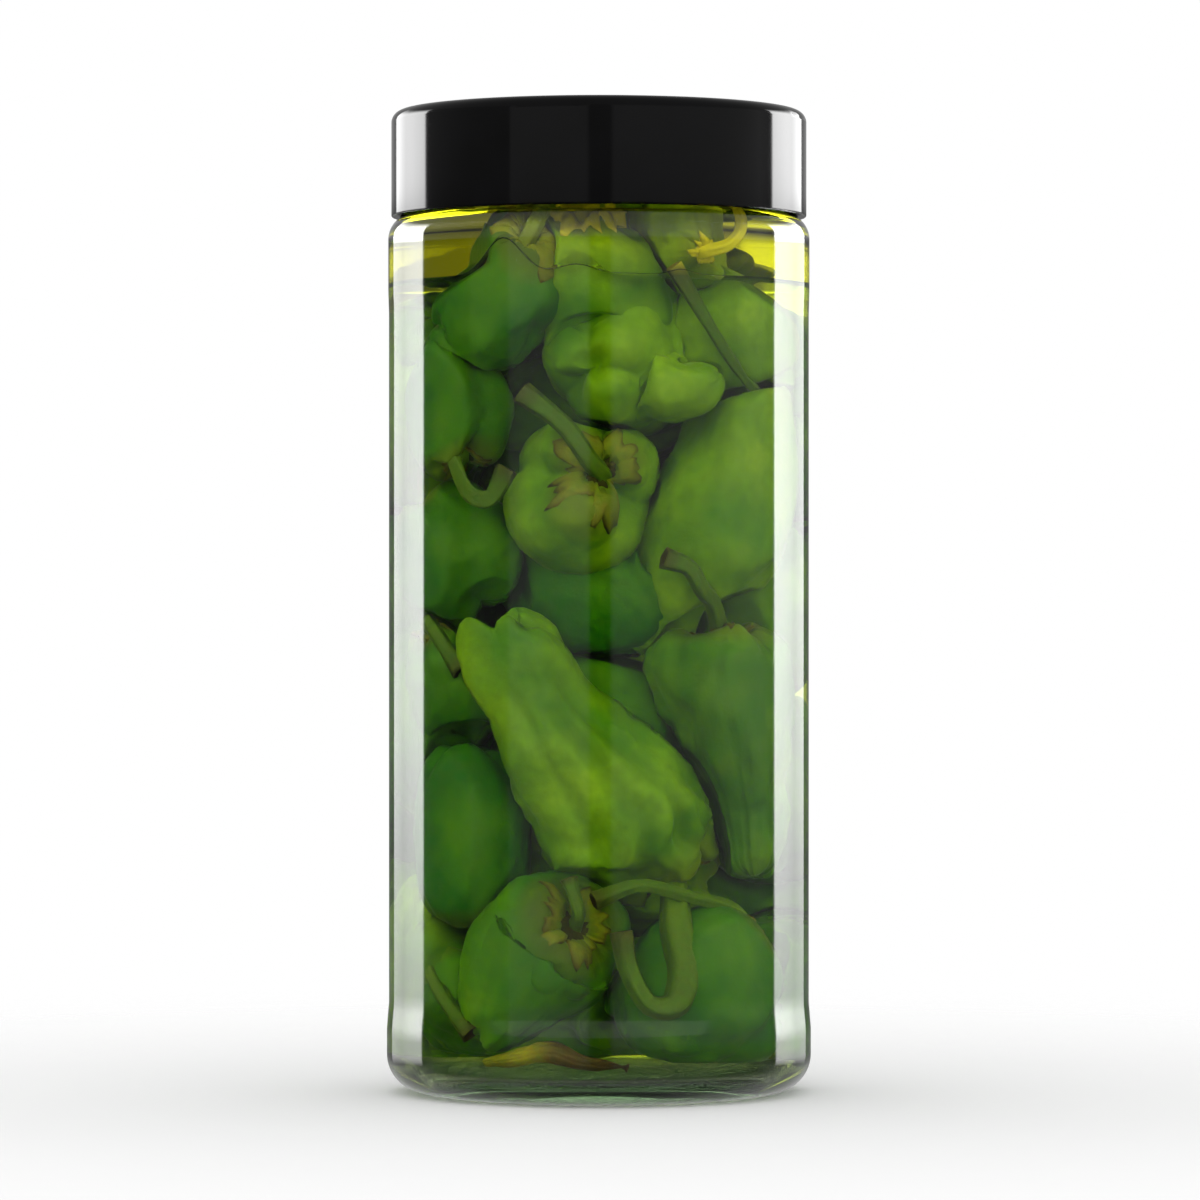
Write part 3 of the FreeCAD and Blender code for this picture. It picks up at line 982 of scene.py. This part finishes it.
def studio_world():
    """What the jar mirrors, what lights it, and the white that stands behind it.

    Mirrored rays, rays through the glass and the floor each have a surround of their own. A level
    is light as the surface gets it, and a bearing runs in degrees from the front, 0, to the right.
    """
    world = bpy.data.worlds.new("studio")
    world.use_nodes = True
    tree = world.node_tree
    tree.nodes.clear()
    place = add_node(tree, "TexCoord").outputs["Generated"]
    parts = add_node(tree, "SeparateXYZ", {0: place})
    behind = add_node(tree, "Math", {0: parts.outputs["Y"], 1: -1.0}, operation="MULTIPLY")
    bearing = add_node(tree, "Math", {0: parts.outputs["X"], 1: behind}, operation="ARCTAN2")
    turn = add_node(tree, "MapRange", {"Value": bearing, "From Min": -math.pi, "From Max": math.pi})
    height = parts.outputs["Z"]   # of a ray's direction: 0 level, 1 straight up
    overhead = add_node(tree, "MapRange",
                        {"Value": height, "From Min": 0.18, "From Max": 0.42},
                        interpolation_type="SMOOTHSTEP")
    beneath = add_node(tree, "MapRange", {"Value": height, "From Min": 0.0, "From Max": -0.20})

    def surround(stops, above, below):
        """A ring of light by bearing, closed by one level over the jar and another under it."""
        ring = add_node(tree, "ValToRGB", {"Fac": turn},
                        stops=[((degrees + 180) / 360, grey(level / strongest))
                               for degrees, level in stops])
        roofed = add_node(tree, "Mix",
                          {"Factor": overhead, "A": ring, "B": grey(above / strongest)},
                          data_type="RGBA")
        return add_node(tree, "Mix",
                        {"Factor": beneath, "A": roofed, "B": grey(below / strongest)},
                        data_type="RGBA")

    # two strips of light stand behind the jar, at 112 to 152 degrees to the right and to the left
    mirrored = surround([
        (-180, 0.16), (-153, 0.16), (-152, 2.5), (-135, 3.9), (-112, 9.2), (-111, 0.03),
        (-75, 0.02), (-73.5, 0.12), (-51, 0.12), (-49.5, 0.40), (-6, 0.40), (-4.5, 0.02), (6, 0.02),
        (7.5, 0.40), (100, 0.40), (111, 0.2), (112, 10.6), (135, 4.3), (152, 2.7), (153, 0.16),
        (180, 0.16)],
        0.25, 0.1)
    # they are dimmer at the foot of the jar and brighter on the lid, where a weak light fills in
    low_fade = add_node(tree, "MapRange",
                        {"Value": height, "From Min": -0.09, "From Max": -0.03,
                         "To Min": 0.74, "To Max": 1.0})
    lid_low, lid_high = 0.064, 0.069
    high_gain = add_node(tree, "MapRange",
                         {"Value": height, "From Min": lid_low, "From Max": lid_high,
                          "To Min": 1.0, "To Max": 2.3})
    gain = add_node(tree, "Math", {0: low_fade, 1: high_gain}, operation="MULTIPLY")
    graded = add_node(tree, "VectorMath", {0: mirrored, "Scale": gain}, operation="SCALE")
    high_fill = add_node(tree, "MapRange",
                         {"Value": height, "From Min": lid_low, "From Max": lid_high,
                          "To Min": 0.0, "To Max": 0.45 / strongest})
    filled = add_node(tree, "VectorMath", {0: graded, 1: high_fill}, operation="MAXIMUM")
    # rays mirrored back and down see a pale level that stands for the floor behind the jar
    backward = add_node(tree, "MapRange",
                        {"Value": parts.outputs["Y"], "From Min": 0.0, "From Max": 0.5,
                         "To Max": 0.6 / strongest})
    pale_floor = add_node(tree, "Math", {0: backward, 1: beneath}, operation="MULTIPLY")
    floored = add_node(tree, "VectorMath", {0: filled, 1: pale_floor}, operation="MAXIMUM")

    # what lights the peppers comes mostly from the front, and the strips are weak in it, so that
    # the oil they show through doesn't glare
    through_glass = surround([
        (-180, 0.3), (-152, 0.4), (-150, 0.85), (-112, 1.0), (-110, 0.5), (-51, 0.5), (-48, 4.1),
        (-8, 4.1), (-4, 1.8), (5, 1.8), (9, 3.3), (70, 2.8), (110, 0.4), (112, 0.16), (150, 0.16),
        (152, 0.16), (180, 0.3)],
        5.0, 0.10)
    # the soft light of the floor and of every other surface
    on_floor = surround([
        (-180, 0.9), (-152, 0.9), (-150, 2.0), (-112, 2.0), (-108, 0.8), (0, 0.8), (108, 0.8),
        (112, 2.0), (150, 2.0), (152, 0.9), (180, 0.9)],
        1.0, 0.9)

    rays = add_node(tree, "LightPath")
    glossy = add_node(tree, "Mix",
                      {"Factor": rays.outputs["Is Glossy Ray"], "A": on_floor, "B": floored},
                      data_type="RGBA")
    seen_through = add_node(tree, "Mix",
                            {"Factor": rays.outputs["Is Transmission Ray"], "A": glossy,
                             "B": through_glass}, data_type="RGBA")
    studio = add_node(tree, "Background", {"Color": seen_through, "Strength": strongest})
    white = add_node(tree, "Background", {"Color": grey(1.0), "Strength": 1.0})
    chosen = add_node(tree, "MixShader", {0: rays.outputs["Is Camera Ray"], 1: studio, 2: white})
    add_node(tree, "OutputWorld", {"Surface": chosen})
    return world


bpy.context.scene.world = studio_world()
bpy.context.scene.view_settings.view_transform = "Standard"

camera_distance = 1.246
camera_side, camera_rise = 0.00024, 0.0002        # small offsets that centre the jar in the frame
camera_data = bpy.data.cameras.new("camera")
camera_data.lens = 174.8
camera_data.sensor_width = 36.0
camera = bpy.data.objects.new("camera", camera_data)
bpy.context.scene.collection.objects.link(camera)
camera.location = (camera_side, -camera_distance, (cad_low.z + cad_high.z) / 2 + camera_rise)
camera.rotation_euler = (math.radians(90), 0, 0)
bpy.context.scene.camera = camera
